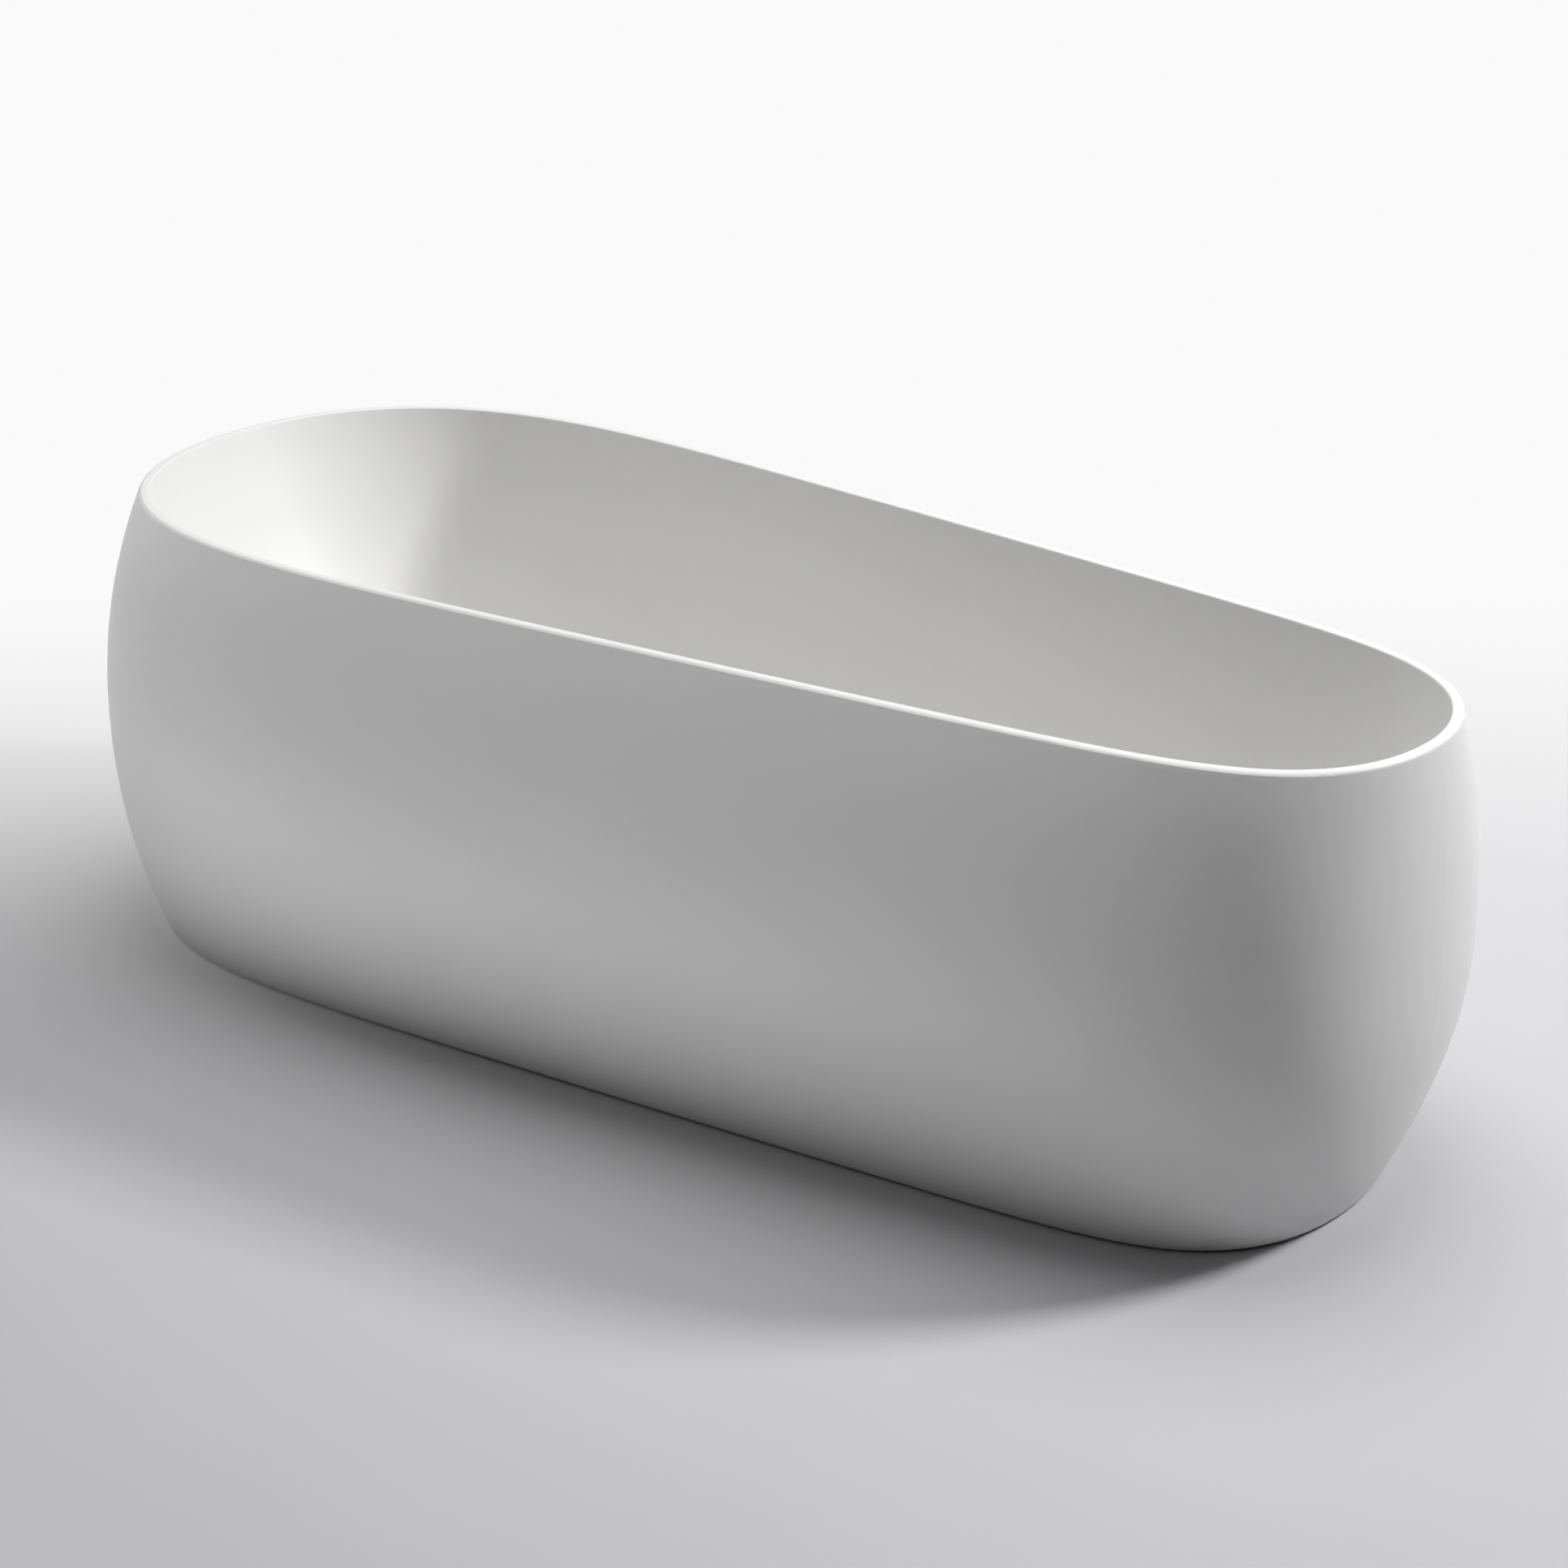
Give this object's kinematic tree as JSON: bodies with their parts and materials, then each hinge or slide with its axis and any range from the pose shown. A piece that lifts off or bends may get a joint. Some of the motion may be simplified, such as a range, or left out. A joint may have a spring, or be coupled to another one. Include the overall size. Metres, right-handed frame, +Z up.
{
  "type": "freestanding bathtub",
  "caption": "Freestanding one-ended bathtub with a thin rim, bulged double wall, click plug, overflow, trap and a steel frame on levelling feet.",
  "frame": {"origin": "on the floor, under the middle of the tub's overall length and width", "axes": "+X along the tub to the foot end with the drain, +Y to the bather's left, +Z up"},
  "size_m": [1.7, 0.7734, 0.52],
  "materials": {
    "tub_acrylic": "silk matt, warm off-white",
    "board_wood": "raw moisture-resistant board",
    "frame_steel": "galvanised",
    "zinc_steel": "zinc plated",
    "spring_steel": "drawn wire",
    "black_plastic": "moulded",
    "black_rubber": "moulded rubber",
    "chrome": "polished",
    "brass": "machined",
    "white_plastic": "moulded polypropylene",
    "grey_plastic": "moulded polypropylene",
    "hose_plastic": "flexible corrugated plastic"
  },
  "bodies": {
    "tub": {"base_board": "board_wood", "board_screws": "zinc_steel", "bracket_screws": "zinc_steel", "cross_bar_bolts": "zinc_steel", "cross_bar_foot": "frame_steel", "cross_bar_head": "frame_steel", "cross_bar_middle": "frame_steel", "cross_bar_nuts": "zinc_steel", "foot_lock_nuts": "zinc_steel", "foot_weld_nuts": "zinc_steel", "frame_end_caps": "black_plastic", "frame_rail_left": "frame_steel", "frame_rail_right": "frame_steel", "hose_nut_lower": "grey_plastic", "hose_nut_upper": "grey_plastic", "inner_basin": "tub_acrylic", "outer_skirt": "tub_acrylic", "outlet_pipe": "white_plastic", "overflow_body": "white_plastic", "overflow_cover": "chrome", "overflow_front_seal": "black_rubber", "overflow_hose": "hose_plastic", "overflow_rear_seal": "black_rubber", "overflow_screw": "chrome", "plug_housing": "brass", "skirt_brackets": "frame_steel", "trap_cup": "white_plastic", "trap_inlet_nut": "grey_plastic", "trap_inlet_seal": "black_rubber", "trap_outlet_nut": "grey_plastic", "trap_outlet_seal": "black_rubber", "waste_body": "white_plastic", "waste_bottom_seal": "black_rubber", "waste_flange": "chrome", "waste_top_seal": "black_rubber"},
    "plug": {"plug_cap": "chrome", "plug_seal": "black_rubber", "plug_plunger": "brass", "plug_spring": "spring_steel"},
    "pad_head_left": {"foot_pad_head_left": "black_rubber"},
    "stud_head_left": {"foot_stud_head_left": "zinc_steel"},
    "pad_head_right": {"foot_pad_head_right": "black_rubber"},
    "stud_head_right": {"foot_stud_head_right": "zinc_steel"},
    "pad_middle": {"foot_pad_middle": "black_rubber"},
    "stud_middle": {"foot_stud_middle": "zinc_steel"},
    "pad_foot_left": {"foot_pad_foot_left": "black_rubber"},
    "stud_foot_left": {"foot_stud_foot_left": "zinc_steel"},
    "pad_foot_right": {"foot_pad_foot_right": "black_rubber"},
    "stud_foot_right": {"foot_stud_foot_right": "zinc_steel"}
  },
  "joints": [
    {"name": "plug_lift", "type": "slide", "parent": "tub", "child": "plug", "axis": [0, 0, 1], "range_m": [0, 0.008], "deforming": ["plug_spring"]},
    {"name": "foot_head_left_travel", "type": "slide", "parent": "tub", "child": "pad_head_left", "axis": [0, 0, -1], "range_m": [-0.00875, 0.00875]},
    {"name": "foot_head_left_turn", "type": "hinge", "parent": "pad_head_left", "child": "stud_head_left", "pos_m": [-0.56, 0.245, 0.05], "axis": [0, 0, -1], "range_deg": [-1800, 1800]},
    {"name": "foot_head_right_travel", "type": "slide", "parent": "tub", "child": "pad_head_right", "axis": [0, 0, -1], "range_m": [-0.00875, 0.00875]},
    {"name": "foot_head_right_turn", "type": "hinge", "parent": "pad_head_right", "child": "stud_head_right", "pos_m": [-0.56, -0.245, 0.05], "axis": [0, 0, -1], "range_deg": [-1800, 1800]},
    {"name": "foot_middle_travel", "type": "slide", "parent": "tub", "child": "pad_middle", "axis": [0, 0, -1], "range_m": [-0.00875, 0.00875]},
    {"name": "foot_middle_turn", "type": "hinge", "parent": "pad_middle", "child": "stud_middle", "pos_m": [0, 0, 0.05], "axis": [0, 0, -1], "range_deg": [-1800, 1800]},
    {"name": "foot_foot_left_travel", "type": "slide", "parent": "tub", "child": "pad_foot_left", "axis": [0, 0, -1], "range_m": [-0.00875, 0.00875]},
    {"name": "foot_foot_left_turn", "type": "hinge", "parent": "pad_foot_left", "child": "stud_foot_left", "pos_m": [0.6, 0.16, 0.05], "axis": [0, 0, -1], "range_deg": [-1800, 1800]},
    {"name": "foot_foot_right_travel", "type": "slide", "parent": "tub", "child": "pad_foot_right", "axis": [0, 0, -1], "range_m": [-0.00875, 0.00875]},
    {"name": "foot_foot_right_turn", "type": "hinge", "parent": "pad_foot_right", "child": "stud_foot_right", "pos_m": [0.6, -0.16, 0.05], "axis": [0, 0, -1], "range_deg": [-1800, 1800]}
  ],
  "couplings": [
    {"joint": "foot_head_left_turn", "follows": "foot_head_left_travel", "rad_per_m": 3590},
    {"joint": "foot_head_right_turn", "follows": "foot_head_right_travel", "rad_per_m": 3590},
    {"joint": "foot_middle_turn", "follows": "foot_middle_travel", "rad_per_m": 3590},
    {"joint": "foot_foot_left_turn", "follows": "foot_foot_left_travel", "rad_per_m": 3590},
    {"joint": "foot_foot_right_turn", "follows": "foot_foot_right_travel", "rad_per_m": 3590}
  ]
}
